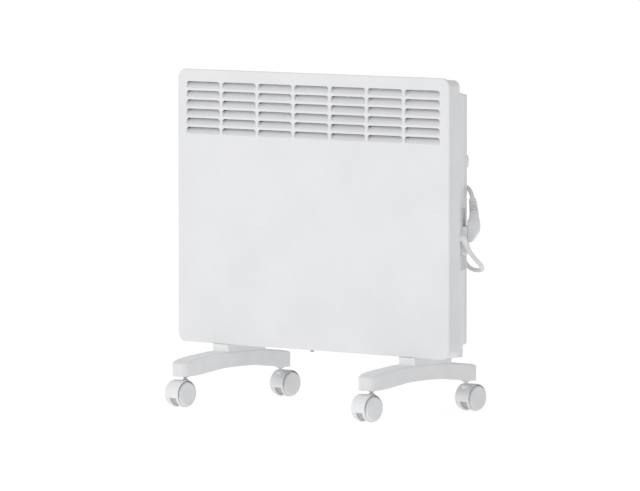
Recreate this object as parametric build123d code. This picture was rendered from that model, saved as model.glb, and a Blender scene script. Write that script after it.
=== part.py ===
from build123d import *
import math
import os

# Panel convector heater on two feet with four swivelling twin-wheel castors.
# Frame: origin on the floor under the middle of the footprint, +X to the
# heater's left-to-right as seen from the front, the front faces -Y, +Z up.
# All sizes are millimetres.

# ---------------------------------------------------------------- dimensions
PANEL_W = 582.0          # front panel width
PANEL_H = 450.0          # front panel height
PANEL_Z0 = 97.0          # underside of the front panel above the floor
PANEL_Y = -34.5          # outer face of the front panel
PANEL_R = 16.0           # corner radius of the front panel
PANEL_RIM = 4.0          # depth of the folded rim
SHEET = 1.0              # sheet steel of the casing
COVER_T = 1.2            # sheet steel of the front panel

LOUV_COLS, LOUV_ROWS = 7, 6
LOUV_PITCH_X = 78.27
LOUV_W = 73.76
LOUV_PITCH_Z = 15.02
LOUV_H = 11.4
LOUV_TOP = 526.8         # top edge of the uppermost row
LOUV_DEEP = 6.0          # how far each louvre is pressed inwards

BODY_X = 286.5           # half width of the surround
BODY_Z0, BODY_Z1 = 99.0, 543.0
BODY_Y1 = -1.5           # rear face of the surround
BODY_R = 12.0

PAN_X0, PAN_X1 = 285.5, 247.4   # half width of the rear casing, front and rear
PAN_Y1 = 57.8                   # rear wall of the rear casing
PAN_Z0, PAN_Z0R = 110.0, 114.0  # underside, front and rear
PAN_Z1, PAN_Z1R = 524.6, 517.4  # top, front and rear
PAN_R = 4.0                     # corner radius of the rear casing
BACK_Y = 63.5                   # outer face of the back plate

SKIRT_X, SKIRT_Y1, SKIRT_Z0 = 250.0, 49.5, 95.0

FOOT_X = 200.0           # feet stand at this distance each side of the middle
FOOT_W = 36.0
FOOT_Y0, FOOT_Y1 = -136.0, 129.0   # front and rear end of a foot
STEM_Y = 117.5           # castor stems at this distance from the middle
STEM_R = 4.0
WHEEL_R = 21.0
HUB_X0, HUB_X1 = 6.4, 18.0   # inner and outer face of each wheel from the castor's middle
AXLE_R = 3.0
TRAIL = 12.0             # axle offset from the stem
HOOD_R, HOOD_RI, HOOD_X = 23.1, 22.0, 14.3   # outer and inner radius, half width
HOOD_LOW = 15.6          # lower edge of the hood above the floor
RUN = 0.05               # radial running clearance

BRACKET_PITCH_X = 300.0  # wall bracket holes in the back plate
BRACKET_PITCH_Z = 200.0
BRACKET_HOLE_R = 3.0
BRACKET_Z = 275.0
BACK_SCREWS = ((-225, 135), (0, 135), (225, 135), (-225, 498), (0, 498), (225, 498), (-235, 316), (140, 498))

CORD_R = 3.5             # three-core lead, 7 mm across
COIL_C = (188.3, 411.0)  # middle of the wound lead, X and Z
COIL_Y0, COIL_Y1 = 66.6, 81.4
COIL_RO, COIL_RI = 49.5, 27.5

os.makedirs("parts", exist_ok=True)
NODES = {}


def put(name, shape, want=1):
    """Keep a piece: one closed solid, or a group of separate ones."""
    solids = shape.solids() if not isinstance(shape, Solid) else [shape]
    if want is not None and len(solids) != want:
        print("NOTE", name, "has", len(solids), "solids, wanted", want)
    out = solids[0] if len(solids) == 1 else Compound(children=list(solids))
    NODES[name] = out
    export_step(out, "parts/" + name + ".step")
    return out


def box(x0, x1, y0, y1, z0, z1):
    return Pos((x0 + x1) / 2, (y0 + y1) / 2, (z0 + z1) / 2) * Box(x1 - x0, y1 - y0, z1 - z0)


def cyl(axis, r, a, b, c1, c2):
    """Cylinder along an axis from a to b; c1 and c2 are its other two coordinates in X, Y, Z order."""
    h, m = b - a, (a + b) / 2
    if axis == "X":
        return Pos(m, c1, c2) * Rot(0, 90, 0) * Cylinder(r, h)
    if axis == "Y":
        return Pos(c1, m, c2) * Rot(90, 0, 0) * Cylinder(r, h)
    return Pos(c1, c2, m) * Cylinder(r, h)


def plate_xz(w, h, r, zc, y0, y1, xc=0.0):
    """Rounded rectangle standing in the XZ plane, from y0 to y1."""
    sk = Plane(origin=(xc, y0, zc), x_dir=(1, 0, 0), z_dir=(0, -1, 0)) * RectangleRounded(w, h, r)
    return extrude(sk, amount=y1 - y0, dir=(0, 1, 0))


def poly_yz(points, x0, x1):
    """Polygon given by (y, z) pairs, extruded from x0 to x1."""
    face = make_face(Polyline([(x0, y, z) for y, z in points], close=True))
    return extrude(face, amount=x1 - x0, dir=(1, 0, 0))


def poly_xy(points, z0, z1):
    face = make_face(Polyline([(x, y, z0) for x, y in points], close=True))
    return extrude(face, amount=z1 - z0, dir=(0, 0, 1))


# The two slanted flanks of the rear casing carry pieces, so each has a plane:
# local x runs back along the flank (right) or forward (left), y is up, z is outwards.
SL = math.hypot(PAN_X0 - PAN_X1, PAN_Y1 - BODY_Y1)
UX, UY = -(PAN_X0 - PAN_X1) / SL, (PAN_Y1 - BODY_Y1) / SL
RIGHT = Plane(origin=(PAN_X0, BODY_Y1, 0), x_dir=(UX, UY, 0), z_dir=(UY, -UX, 0))
LEFT = Plane(origin=(-PAN_X0, BODY_Y1, 0), x_dir=(UX, -UY, 0), z_dir=(-UY, -UX, 0))


def on_right(s, d, z):
    """Point on the right flank: s back along it, d outwards from it, z up."""
    return (PAN_X0 + UX * s + UY * d, BODY_Y1 + UY * s - UX * d, z)


def lbox(plane, a0, a1, z0, z1, d0, d1):
    return plane * box(a0, a1, z0, z1, d0, d1)


# ---------------------------------------------------------------- front panel
zc = PANEL_Z0 + PANEL_H / 2
front = plate_xz(PANEL_W, PANEL_H, PANEL_R, zc, PANEL_Y, PANEL_Y + PANEL_RIM)
front = fillet(front.faces().sort_by(Axis.Y)[0].outer_wire().edges(), 1.1)
front = front - plate_xz(PANEL_W - 2 * COVER_T, PANEL_H - 2 * COVER_T, PANEL_R - COVER_T, zc,
                         PANEL_Y + COVER_T, PANEL_Y + PANEL_RIM + 1)
slots, vanes = [], []
for i in range(LOUV_COLS):
    cx = (i - (LOUV_COLS - 1) / 2) * LOUV_PITCH_X
    for j in range(LOUV_ROWS):
        zt = LOUV_TOP - j * LOUV_PITCH_Z
        zb = zt - LOUV_H
        slots.append(box(cx - LOUV_W / 2, cx + LOUV_W / 2, PANEL_Y - 1, PANEL_Y + COVER_T + 1, zb, zt))
        y0 = PANEL_Y
        vanes.append(poly_yz([(y0 + 0.2, zb - 0.4), (y0 + COVER_T, zb - 0.4), (y0 + LOUV_DEEP + 0.9, zt - 1.2),
                              (y0 + LOUV_DEEP, zt - 1.2), (y0 + 0.2, zb + 0.1)],
                             cx - LOUV_W / 2, cx + LOUV_W / 2))
front = front - slots
front = front + vanes
put("front_cover", front)

# ---------------------------------------------------------------- surround
bz = (BODY_Z0 + BODY_Z1) / 2
bh = BODY_Z1 - BODY_Z0
sur_y0 = PANEL_Y + COVER_T
surround = plate_xz(2 * BODY_X, bh, BODY_R, bz, sur_y0, BODY_Y1)
surround = surround - plate_xz(2 * (BODY_X - SHEET), bh - 2 * SHEET, BODY_R - SHEET, bz, sur_y0 - 1, BODY_Y1 - SHEET)
surround = surround - box(-262, 262, BODY_Y1 - 3, BODY_Y1 + 1, PAN_Z0 + 14, PAN_Z1 - 14)
surround = surround - box(-168, 168, BODY_Y1 - 3, BODY_Y1 + 1, BODY_Z0 + 3, PAN_Z0 - 2)
put("surround_frame", surround)

# clips that hold the panel's rim on the surround: top, bottom and sides
clips = []
for x in (-190.0, -65.0, 65.0, 190.0):
    clips.append(box(x - 9, x + 9, PANEL_Y + 1.7, PANEL_Y + 3.7, BODY_Z1, BODY_Z1 + 2.6))
for z in (200.0, 440.0):
    clips.append(box(BODY_X, BODY_X + 3.1, PANEL_Y + 1.7, PANEL_Y + 3.7, z - 9, z + 9))
    clips.append(box(-BODY_X - 3.1, -BODY_X, PANEL_Y + 1.7, PANEL_Y + 3.7, z - 9, z + 9))
put("cover_clips", Compound(children=clips), 8)

# locking screw under the middle of the panel
lock = cyl("Z", 2.0, PANEL_Z0 - 0.4, PANEL_Z0, 0, PANEL_Y + 2.6) + cyl("Z", 3.2, PANEL_Z0 - 2.4, PANEL_Z0 - 0.4, 0, PANEL_Y + 2.6)
lock = lock - box(-0.5, 0.5, PANEL_Y - 2, PANEL_Y + 7, PANEL_Z0 - 3, PANEL_Z0 - 1.4)
put("cover_lock_screw", lock)


# ---------------------------------------------------------------- rear casing
def pan(off, y0, y1):
    """The rear casing's outer form, moved inwards by off, cut at y0 and y1."""
    def at(y):
        t = (y - BODY_Y1) / (PAN_Y1 - BODY_Y1)
        return (PAN_X0 + (PAN_X1 - PAN_X0) * t - off, PAN_Z0 + (PAN_Z0R - PAN_Z0) * t + off,
                PAN_Z1 + (PAN_Z1R - PAN_Z1) * t - off)
    faces = []
    for y in (y0, y1):
        x, za, zb = at(y)
        faces.append(Plane(origin=(0, y, (za + zb) / 2), x_dir=(1, 0, 0), z_dir=(0, -1, 0)) *
                     RectangleRounded(2 * x, zb - za, PAN_R - off))
    return loft(faces)


casing = pan(0, BODY_Y1, PAN_Y1) - pan(SHEET, BODY_Y1 - 0.001, PAN_Y1 - SHEET)
# air intake in the underside, control panel and switch openings, lead and socket holes
casing = casing - box(-168, 168, 4, 44, PAN_Z0 - 3, PAN_Z0 + 4)
casing = casing - (LEFT * Pos(-35, 470, 0) * Cylinder(9.0, 10))
casing = casing - lbox(LEFT, -46, -24, 418, 432, -5, 5)
GLAND = (9.0, 291.0)
casing = casing - (RIGHT * Pos(GLAND[0], GLAND[1], 0) * Cylinder(6.0, 10))
PLUG_S, PLUG_Z = 41.0, 300.0
for k in (-1, 1):
    casing = casing - (RIGHT * Pos(PLUG_S + k * 9.5, PLUG_Z - 6, 0) * Cylinder(2.9, 40))
casing = casing - [cyl("Y", 1.7, PAN_Y1 - 4, PAN_Y1 + 1, x, z) for x, z in BACK_SCREWS]
put("rear_casing", casing)

# shallow back plate over the rear wall
bpz = (PAN_Z0R + PAN_Z1R) / 2
bph = PAN_Z1R - PAN_Z0R
back = plate_xz(2 * PAN_X1, bph, PAN_R, bpz, PAN_Y1, BACK_Y)
back = fillet(back.faces().sort_by(Axis.Y)[-1].outer_wire().edges(), 1.6)
back = back - plate_xz(2 * (PAN_X1 - SHEET), bph - 2 * SHEET, PAN_R - SHEET, bpz, PAN_Y1 - 1, BACK_Y - SHEET)
holes = []
for x in (-BRACKET_PITCH_X / 2, BRACKET_PITCH_X / 2):
    for z in (BRACKET_Z - BRACKET_PITCH_Z / 2, BRACKET_Z + BRACKET_PITCH_Z / 2):
        holes.append(cyl("Y", BRACKET_HOLE_R, BACK_Y - 3, BACK_Y + 1, x, z))
back = back - holes - [cyl("Y", 1.7, BACK_Y - 3, BACK_Y + 1, x, z) for x, z in BACK_SCREWS]
put("back_plate", back)

screws = []
for x, z in BACK_SCREWS:
    h = cyl("Y", 3.6, BACK_Y, BACK_Y + 2.0, x, z) + cyl("Y", 1.6, PAN_Y1 - 4, BACK_Y, x, z)
    h = h - box(x - 2.6, x + 2.6, BACK_Y + 1.0, BACK_Y + 3, z - 0.5, z + 0.5) - box(x - 0.5, x + 0.5, BACK_Y + 1.0, BACK_Y + 3, z - 2.6, z + 2.6)
    screws.append(h)
put("back_plate_screws", Compound(children=screws), 8)

# ---------------------------------------------------------------- intake skirt with slots
under = PAN_Z0 + (PAN_Z0R - PAN_Z0) * (SKIRT_Y1 - BODY_Y1) / (PAN_Y1 - BODY_Y1)     # the underside above the skirt's rear wall
skirt = poly_yz([(BODY_Y1, SKIRT_Z0), (SKIRT_Y1, SKIRT_Z0), (SKIRT_Y1, under), (BODY_Y1, PAN_Z0)], -SKIRT_X, SKIRT_X)
skirt = skirt - box(-SKIRT_X + 1.5, SKIRT_X - 1.5, BODY_Y1 + 1.5, SKIRT_Y1 - 1.5, SKIRT_Z0 + 1.5, PAN_Z0 + 8)
sl = []
k = 0
x = -160.0
while x <= 160.01:
    sl.append(box(x - 2.2, x + 2.2, 6, 42, SKIRT_Z0 - 1, SKIRT_Z0 + 3))
    x += 8.0
skirt = skirt - sl
put("intake_grille", skirt)

# ---------------------------------------------------------------- heating element and its carriers
EY, EZ = 16.0, 178.0       # middle of the element
EL = 190.0                 # half length of the fins
fin = cyl("X", 7.5, -EL, EL, EY, EZ)
for a in (52, 128, 232, 308):
    ca, sa = math.cos(math.radians(a)), math.sin(math.radians(a))
    p0, p1, w = (EY, EZ), (EY + 38 * ca, EZ + 38 * sa), 0.9
    q = [(p0[0] - w * sa, p0[1] + w * ca), (p0[0] + w * sa, p0[1] - w * ca),
         (p1[0] + w * sa, p1[1] - w * ca), (p1[0] - w * sa, p1[1] + w * ca)]
    fin = fin + poly_yz(q, -EL, EL)
ribs = []
for i in range(-9, 10):
    ribs.append(cyl("X", 26.0, i * 20 - 0.6, i * 20 + 0.6, EY, EZ))
fin = fin + ribs
fin = fin - cyl("X", 4.2, -EL - 1, EL + 1, EY, EZ)
put("element_fins", fin)
put("element_rod", cyl("X", 4.2, -EL - 26, EL + 26, EY, EZ))
ins = []
for k in (-1, 1):
    a, b = sorted((k * EL, k * (EL + 14)))
    i = cyl("X", 9.0, a, b, EY, EZ)
    c, d = sorted((k * (EL + 2), k * (EL + 4)))
    i = i + cyl("X", 12.0, c, d, EY, EZ) - cyl("X", 4.2, a - 1, b + 1, EY, EZ)
    ins.append(i)
put("element_insulators", Compound(children=ins), 2)
for name, k in (("element_bracket_left", -1), ("element_bracket_right", 1)):
    a, b = sorted((k * (EL + 4), k * (EL + 5.5)))
    br = box(a, b, -20, PAN_Y1 - SHEET, 138, 300) - cyl("X", 9.0, a - 1, b + 1, EY, EZ)
    c, d = sorted((k * (EL + 4), k * (EL + 18)))
    br = br + box(c, d, PAN_Y1 - SHEET - 1.5, PAN_Y1 - SHEET, 138, 300)
    br = br - box(a - 1, b + 1, -14, 44, 222, 284)
    put(name, br)
# heat shield that guides the warm air up to the louvres
shield = box(-EL - 6, EL + 6, -21, -20, 138, 330) + poly_yz([(-21, 329), (-20, 329), (-30, 352), (-31, 352)], -EL - 6, EL + 6)
put("heat_shield", shield)

# thermal cut-out on the shield, above the element
cut = box(92, 128, -20, -18.6, 240, 252) + cyl("Y", 8.0, -18.6, -9.0, 110, 246)
cut = cut + box(104.5, 107, -9.0, -2.0, 243, 249) + box(113, 115.5, -9.0, -2.0, 243, 249)
put("thermal_cutout", cut)

# tilt switch that stops the heater when it is pushed over
put("tilt_switch", box(-170, -138, PAN_Y1 - SHEET - 20, PAN_Y1 - SHEET, 330, 356) +
    cyl("Y", 9.0, PAN_Y1 - SHEET - 24, PAN_Y1 - SHEET - 20, -154, 343))

# terminal block near the lead's entry
tb = box(196, 232, PAN_Y1 - SHEET - 15, PAN_Y1 - SHEET, 330, 378)
for z in (342, 354, 366):
    tb = tb - cyl("Y", 2.6, PAN_Y1 - SHEET - 16, PAN_Y1 - SHEET - 8, 214, z)
put("terminal_block", tb)

# ---------------------------------------------------------------- controls on the left flank
plate = LEFT * (box(-60, -8, 396, 502, 0, 2.5))
plate = fillet(plate.edges().filter_by(lambda e: abs(e.tangent_at(0.5).dot(LEFT.z_dir)) > 0.9), 6)
plate = fillet(plate.faces().sort_by(lambda f: f.center().dot(LEFT.z_dir))[-1].outer_wire().edges(), 1.0)
plate = plate - (LEFT * Pos(-35, 470, 0) * Cylinder(9.0, 10)) - lbox(LEFT, -46, -24, 418, 432, -5, 5)
put("control_plate", plate)
# thermostat: body behind the flank, neck through it
th = LEFT * (box(-51, -19, 454, 486, -23, -SHEET)) + LEFT * (Pos(-35, 470, 0.5) * Cylinder(8.8, 3.0))
th = th - (LEFT * Pos(-35, 470, -3.0) * Cylinder(3.0 + RUN, 18.0))
put("thermostat_body", th)
put("thermostat_shaft", LEFT * Pos(-35, 470, 2.2) * Cylinder(3.0, 19.6))   # runs in the body's bore
knob = LEFT * Pos(-35, 470, 9.5) * Cylinder(17.0, 13.0)
knob = fillet(knob.faces().sort_by(lambda f: f.center().dot(LEFT.z_dir))[-1].edges(), 2.0)
gr = []
for a in range(0, 360, 15):
    if a != 90:
        gr.append(LEFT * Pos(-35 + 17.4 * math.cos(math.radians(a)), 470 + 17.4 * math.sin(math.radians(a)), 9.5) * Cylinder(1.2, 14))
knob = knob - gr
knob = knob - (LEFT * Pos(-35, 470, 4.5) * Cylinder(3.0, 15.0)) - lbox(LEFT, -35.7, -34.3, 477, 488, 15.2, 17)
put("thermostat_knob", knob)
# rocker switch: housing through the flank, rocker on a pin across it
hs = lbox(LEFT, -46, -24, 418, 432, -16, 2.5) + lbox(LEFT, -48, -22, 416, 434, 2.5, 4.3)
hs = hs - lbox(LEFT, -44.2, -25.8, 420.5, 429.5, -12, 6)
for k in (-1, 1):
    hs = hs - (LEFT * Pos(-35, 425 + k * 5.3, 0.0) * Rot(90, 0, 0) * Cylinder(1.2 + RUN, 1.8))
put("switch_housing", hs)
rk = LEFT * Pos(-35, 425, 0) * extrude(
    Plane(origin=(0, 4.1, 0), x_dir=(1, 0, 0), z_dir=(0, -1, 0)) *
    make_face(Polyline([(-6.8, -1.5), (6.8, -1.5), (7.2, 6.6), (0.0, 4.8), (-7.2, 4.6)], close=True)), amount=8.2)
rk = rk + (LEFT * Pos(-35, 425, 0) * Rot(90, 0, 0) * Cylinder(1.2, 12.0))
put("switch_rocker", rk)

# ---------------------------------------------------------------- wiring inside the casing
def lead(name, points, r, radii):
    """A lead along straight runs joined by tangent arcs."""
    path = FilletPolyline(*points, radius=radii)
    face = Plane(origin=points[0], z_dir=Vector(*points[1]) - Vector(*points[0])) * Circle(r)
    s = sweep(face, path=path)
    print(name, "length", round(path.length, 1), "volume ratio", round(s.volume / (math.pi * r * r * path.length), 4))
    return s


tbf = PAN_Y1 - SHEET - 15   # face of the terminal block
put("wire_live", lead("wire_live", [(214, tbf + 7, 366), (214, 26, 366), (205, 14, 400), (60, 6, 420), (-140, 6, 440), tuple(LEFT.from_local_coords((-35, 462, -42))), tuple(LEFT.from_local_coords((-35, 462, -23)))], 1.5, 7.0))
put("wire_neutral", lead("wire_neutral", [(214, tbf + 7, 342), (214, 30, 342), (234, 20, 300), (234, EY, 205), (228, EY, EZ), (EL + 26, EY, EZ)], 1.5, 5.0))
put("wire_earth", lead("wire_earth", [(214, tbf + 7, 354), (214, 22, 354), (222, 0, 330), (212, -17, 300), (206, -17, 292), (EL + 5.5, -17, 292)], 1.5, 3.5))
put("wire_switched", lead("wire_switched", [tuple(LEFT.from_local_coords((-29, 425, -16))), tuple(LEFT.from_local_coords((-29, 425, -30))), (-236, 10, 380), (-238, EY, 240), (-232, EY, EZ), (-EL - 26, EY, EZ)], 1.5, 6.0))

# ---------------------------------------------------------------- lead, gland, holder, hook and plug
GA = Vector(*on_right(GLAND[0], 0, GLAND[1]))
GD = (Vector(286.1, 25.0, 265.8) - GA).normalized()     # the way the lead leaves
gpl = Plane(origin=GA, z_dir=GD)
flange = RIGHT * Pos(GLAND[0], GLAND[1], 1.25) * Cylinder(8.2, 2.5)
cone = gpl * Pos(0, 0, 11.0) * Cone(7.2, 4.3, 34)
cone = cone - lbox(RIGHT, GLAND[0] - 30, GLAND[0] + 30, GLAND[1] - 30, GLAND[1] + 30, -30, 0.6)
spigot = RIGHT * Pos(GLAND[0], GLAND[1], -1.2) * Cylinder(5.9, 4.4)
gland = flange + spigot + cone
rings = []
for t in (12, 16, 20, 24):
    r_at = 7.2 + (4.3 - 7.2) * (t + 6) / 34
    rings.append(gpl * Pos(0, 0, t) * (Cylinder(r_at + 1, 1.4) - Cylinder(r_at - 0.7, 1.4)))
gland = gland - rings
put("cord_gland", gland)

# moulded holder on the right flank: base, parking block with two pin holes, end ribs
hold = lbox(RIGHT, 21.0, 66, 236, 335, 0, 1.0)
hold = hold + lbox(RIGHT, 2.0, 21.1, 308, 335, 0, 1.0) + lbox(RIGHT, 2.0, 21.1, 236, 262, 0, 1.0)
block = lbox(RIGHT, 25.5, 62, 262, 307.8, 1.0, 8.6)
block = fillet(block.edges().filter_by(lambda e: abs(e.tangent_at(0.5).dot(RIGHT.z_dir)) > 0.9), 4)
block = fillet(block.faces().sort_by(lambda f: f.center().dot(RIGHT.z_dir))[-1].outer_wire().edges(), 1.2)
hold = hold + block
for k in (-1, 1):
    hold = hold - (RIGHT * Pos(PLUG_S + k * 9.5, PLUG_Z - 6, 5) * Cylinder(2.9, 14))
put("cord_holder", hold)
pads = [lbox(RIGHT, 3.0, 65, 308.6, 334.4, 1.0, 3.4), lbox(RIGHT, 3.0, 65, 236.8, 260.8, 1.0, 2.2)]
put("cord_holder_pads", Compound(children=pads), 2)

# two-pin angled plug, parked with its pins in the holder
PF = 8.9                     # face of the plug above the flank
side = [(PF, 282.0), (15.3, 282.0), (26.6, 299.0), (27.2, 304.0), (26.9, 311.0), (24.4, 331.0), (11.4, 331.0), (11.0, 318.6), (PF, 318.4)]
flank = make_face(Polyline([tuple(RIGHT.from_local_coords((PLUG_S - 14.0, z, d))) for d, z in side], close=True))
pb = extrude(flank, amount=28.0, dir=RIGHT.x_dir)
outline = [(PLUG_S - 14.0, 286.0), (PLUG_S - 10.0, 281.9), (PLUG_S + 10.0, 281.9), (PLUG_S + 14.0, 286.0), (PLUG_S + 14.0, 316.0),
           (PLUG_S + 7.6, 331.1), (PLUG_S - 7.6, 331.1), (PLUG_S - 14.0, 316.0)]
pb = pb & (RIGHT * Pos(0, 0, 0) * extrude(make_face(Polyline([(s, z, 0) for s, z in outline], close=True)), amount=40.0))
NB = Vector(*on_right(PLUG_S, 17.6, 327.0))                  # foot of the neck
ND = Vector(-0.35, 0.36, 0.866).normalized()
npl = Plane(origin=NB, z_dir=ND)
neck = npl * Pos(0, 0, 9.5) * Cone(7.0, 5.3, 27)
pb = pb + neck
gro = []
for t in (7, 10.5, 14, 17.5):
    r_at = 7.0 + (5.3 - 7.0) * (t + 4) / 27
    gro.append(npl * Pos(0, 0, t) * (Cylinder(r_at + 1, 1.3) - Cylinder(r_at - 0.6, 1.3)))
pb = pb - gro
put("plug_body", pb)
pins = []
for k in (-1, 1):
    p = RIGHT * Pos(PLUG_S + k * 9.5, PLUG_Z - 6, PF - 9.5) * Cylinder(2.4, 19.0)
    pins.append(p)
put("plug_pins", Compound(children=pins), 2)

# hook on the back plate that carries the wound lead
hx, hz = COIL_C
hook = box(hx - 20, hx + 20, BACK_Y, BACK_Y + 2.5, hz - 18, hz + 30)
peg = cyl("Y", COIL_RI - 0.3, BACK_Y + 2.5, COIL_Y1 + 4.5, hx, hz)
peg = peg & box(hx - 16, hx + 16, BACK_Y, COIL_Y1 + 8, hz + 10, hz + 40)
peg = peg - cyl("Y", COIL_RI - 4.3, BACK_Y, COIL_Y1 + 8, hx, hz)
lip = (cyl("Y", COIL_RI + 8, COIL_Y1 + 1.0, COIL_Y1 + 4.5, hx, hz) - cyl("Y", COIL_RI - 4.3, BACK_Y, COIL_Y1 + 8, hx, hz)) & box(hx - 9, hx + 9, BACK_Y, COIL_Y1 + 8, hz + 10, hz + 44)
put("cord_hook", hook + peg + lip)

coil = cyl("Y", COIL_RO, COIL_Y0, COIL_Y1, hx, hz) - cyl("Y", COIL_RI, COIL_Y0 - 1, COIL_Y1 + 1, hx, hz)
coil = fillet(coil.edges(), 3.0)
put("cord_coil", coil)


def cord_tube(name, pts):
    v = [Vector(*p) for p in pts]
    radii, turns = [], []
    for i in range(1, len(v) - 1):
        a, b = v[i] - v[i - 1], v[i + 1] - v[i]
        t = math.radians(a.get_angle(b))
        turns.append(round(math.degrees(t)))
        radii.append(0.45 * min(a.length, b.length) / math.tan(t / 2))
    print(name, "runs", [round((v[i + 1] - v[i]).length) for i in range(len(v) - 1)])
    print(name, "turns", turns, "radii", [round(r) for r in radii])
    path = FilletPolyline(*pts, radius=radii)
    sec = Plane(origin=pts[0], z_dir=v[1] - v[0]) * Circle(CORD_R)
    s = sweep(sec, path=path)
    print(name, "length", round(path.length, 1), "volume ratio", round(s.volume / (math.pi * CORD_R ** 2 * path.length), 4))
    return s


TIP = GA + GD * 28.0
CORD_A = [
    tuple(TIP),                      # end of the gland's strain relief
    tuple(GA + GD * 43.0),
    (290.8, 43.2, 246.4),
    (286.6, 55.0, 237.6),
    (276.6, 65.0, 233.2),
    (262.6, 71.6, 232.6),
    (249.0, 75.8, 236.4),
    (238.6, 78.6, 246.2),
    (231.2, 79.2, 260.0),
    (227.4, 78.7, 277.0),
    (225.6, 77.6, 296.5),
    (225.2, 76.0, 316.5),
    (226.4, 74.0, 336.5),
    (227.9, 72.0, 356.5),
    (230.0, 70.8, 376.5),
    (232.2, 70.3, 395.5),            # runs into the wound lead
]
CORD_B = [
    (209.5, 78.2, 370.2),            # leaves the wound lead at its foot
    (222.6, 80.2, 371.4),
    (236.2, 80.0, 371.2),
    (249.6, 75.4, 369.2),
    (259.8, 64.8, 365.0),
    tuple(NB + ND * 36.0),
    tuple(NB + ND * 23.0),
]
put("power_cord", cord_tube("power_cord", CORD_A))
put("plug_cord", cord_tube("plug_cord", CORD_B))

# strap tie round the wound lead, on its outer side
tie = box(hx + 23.7, hx + 51.2, COIL_Y0 - 1.3, COIL_Y1 + 1.3, hz - 10, hz + 10)
tie = fillet(tie.edges().filter_by(Axis.Z), 2.4)
tie = tie - fillet(box(hx + 25.0, hx + 49.9, COIL_Y0, COIL_Y1, hz - 11, hz + 11).edges().filter_by(Axis.Z), 1.2)
put("cord_tie", tie)

# ---------------------------------------------------------------- feet
TOP = [(-137.5, 66.0), (-133.0, 68.0), (-127.5, 70.5), (-123.0, 74.6), (-117.0, 76.8), (-105.0, 78.6), (-93.0, 80.0), (-70.5, 82.0), (-54.5, 83.6), (-40.0, 84.4)]
LOW = [(137.5, 49.6), (118.0, 50.2), (100.0, 51.2), (88.0, 52.6), (72.0, 54.6), (55.0, 56.8), (35.0, 58.2), (0.0, 59.0)]


def foot(xc):
    top_pts = TOP + [(-y, z) for y, z in reversed(TOP)]
    low_pts = LOW + [(-y, z) for y, z in reversed(LOW[:-1])]
    top = Spline([(xc - FOOT_W / 2 - 2, y, z) for y, z in top_pts])
    low = Spline([(xc - FOOT_W / 2 - 2, y, z) for y, z in low_pts])
    e1 = Line(top @ 1, low @ 0)
    e2 = Line(low @ 1, top @ 0)
    prof = extrude(make_face(Wire([top, e1, low, e2])), amount=FOOT_W + 4, dir=(1, 0, 0))
    plan = extrude(Pos(xc, (FOOT_Y0 + FOOT_Y1) / 2, 40) * RectangleRounded(FOOT_W, FOOT_Y1 - FOOT_Y0, 11.0), amount=60)
    f = prof & plan
    top_edges = f.edges().filter_by(lambda e: e.bounding_box().min.Z > 60 and e.length > 8 and abs(e.tangent_at(0.5).Z) < 0.9)
    f = fillet(top_edges, 5.0)
    ped = Pos(xc, 15.25, (80.0 + SKIRT_Z0) / 2) * Box(FOOT_W - 2.0, 96.5, SKIRT_Z0 - 80.0)
    ped = fillet(ped.edges().filter_by(Axis.Z), 4.0)
    ped = ped + box(xc - FOOT_W / 2 + 1, xc + FOOT_W / 2 - 1, -29.0, BODY_Y1 - 0.3, 80.0, PANEL_Z0 - 0.4)
    ped = ped + (box(xc - FOOT_W / 2 + 5, xc + FOOT_W / 2 - 5, -33.0, -28.0, 80.0, PANEL_Z0 - 0.4))
    f = f + ped + box(xc - 15, xc + 15, -29.5, -3.0, SKIRT_Z0 - 2, BODY_Z0)
    # hollow underside with ribs round the stem sockets
    inner_top = Spline([(xc - FOOT_W / 2 + 3, y * 0.972 - 0.5, z - 7.5) for y, z in top_pts[2:-2]])
    a, b = inner_top @ 1, inner_top @ 0
    pk = Wire([inner_top, Line(a, (a.X, a.Y, 40)), Line((a.X, a.Y, 40), (b.X, b.Y, 40)), Line((b.X, b.Y, 40), b)])
    pocket = extrude(make_face(pk), amount=FOOT_W - 6, dir=(1, 0, 0))
    pocket = pocket & extrude(Pos(xc, (FOOT_Y0 + FOOT_Y1) / 2, 30) * RectangleRounded(FOOT_W - 6, FOOT_Y1 - FOOT_Y0 - 6, 8.0), amount=60)
    keep = [cyl("Z", 9.0, 30, 90, xc, s * STEM_Y) for s in (-1, 1)]
    keep += [box(xc - 20, xc + 20, y - 1.2, y + 1.2, 30, 90) for y in (-90, -62, -8, 8, 36, 62, 90)]
    pocket = pocket - keep
    pocket = pocket - [cyl("Z", 7.5, 30, 100, xc, y) for y in (4.0, 40.0)]
    f = f - pocket
    for s in (-1, 1):
        f = f - cyl("Z", STEM_R, 40, 71.0, xc, s * STEM_Y)
    for y in (4.0, 40.0):
        f = f - cyl("Z", 2.3, 40, 120, xc, y) - cyl("Z", 5.2, 40, 66.0, xc, y)
    return f


put("foot_left", foot(-FOOT_X))
put("foot_right", foot(FOOT_X))
fs = []
for x in (-FOOT_X, FOOT_X):
    for y in (4.0, 40.0):
        s = cyl("Z", 2.3, 66.0, SKIRT_Z0, x, y) + cyl("Z", 4.6, 62.8, 66.0, x, y)
        s = s - box(x - 0.6, x + 0.6, y - 5, y + 5, 62, 64)
        fs.append(s)
put("foot_screws", Compound(children=fs), 4)


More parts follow.
